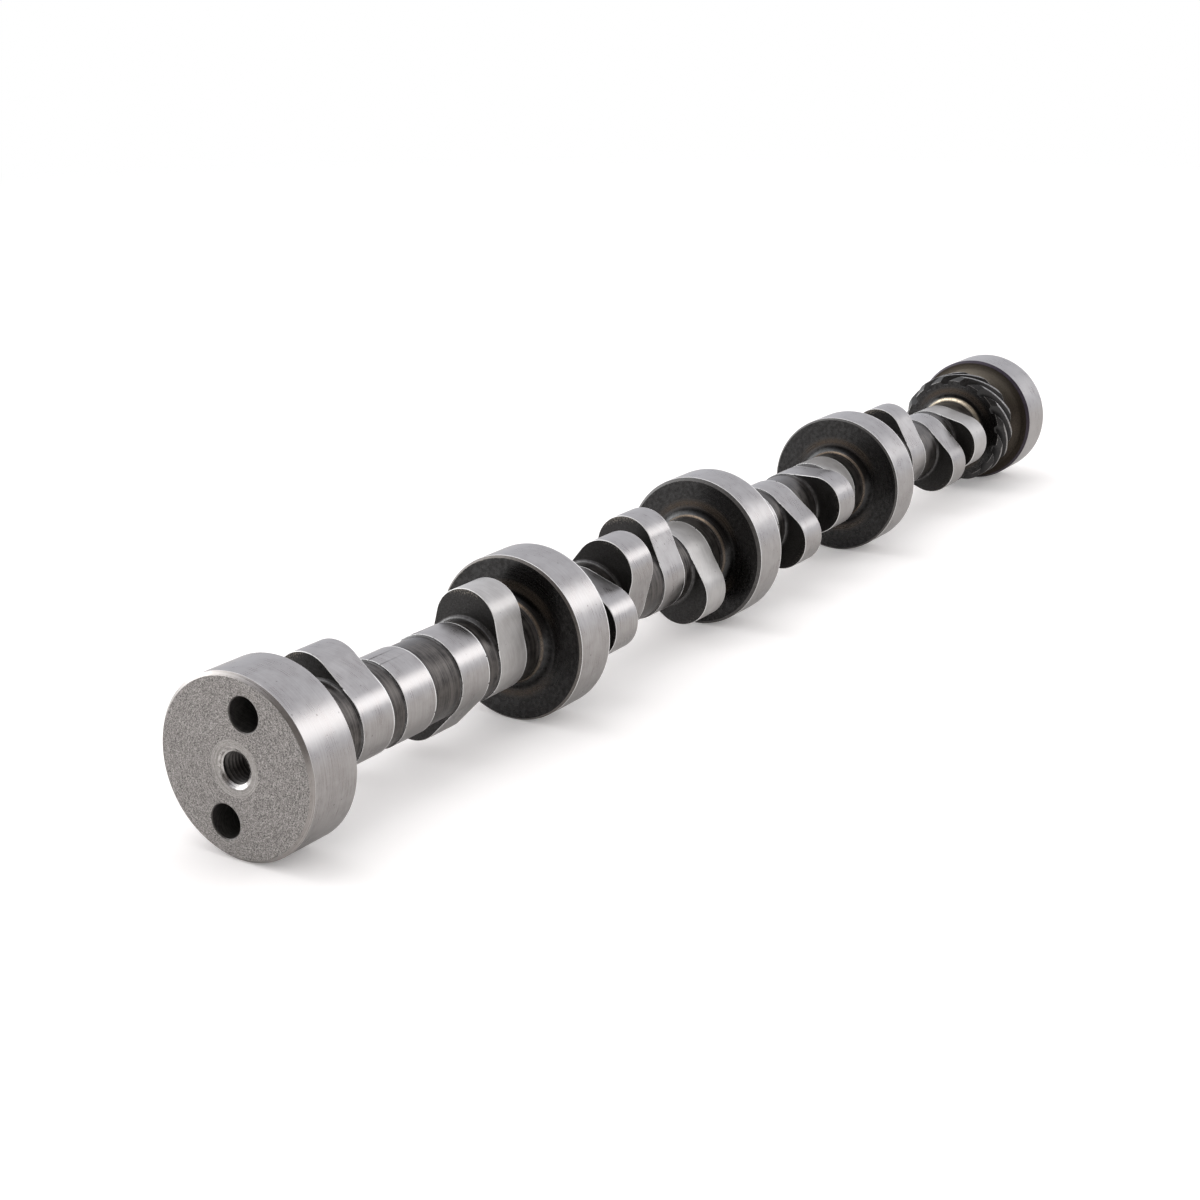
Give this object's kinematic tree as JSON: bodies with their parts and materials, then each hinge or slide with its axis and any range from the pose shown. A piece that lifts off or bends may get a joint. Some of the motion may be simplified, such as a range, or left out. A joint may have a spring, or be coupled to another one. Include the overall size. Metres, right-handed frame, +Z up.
{
  "type": "camshaft",
  "caption": "One-piece roller camshaft for a V8 pushrod engine, with bearing journals, valve lobes, a helical distributor drive gear and a stepped nose for the timing sprocket.",
  "frame": {"origin": "on the shaft's axis, in the thrust face at the front of the front journal", "axes": "+X along the axis towards the nose, +Z up as the shaft lies on its journals"},
  "size_m": [0.5129, 0.0528, 0.0528],
  "materials": {
    "cam_steel": "ground journals and lobe faces, black turned shaft and sides"
  },
  "bodies": {
    "root": {"camshaft": "cam_steel"}
  },
  "joints": []
}
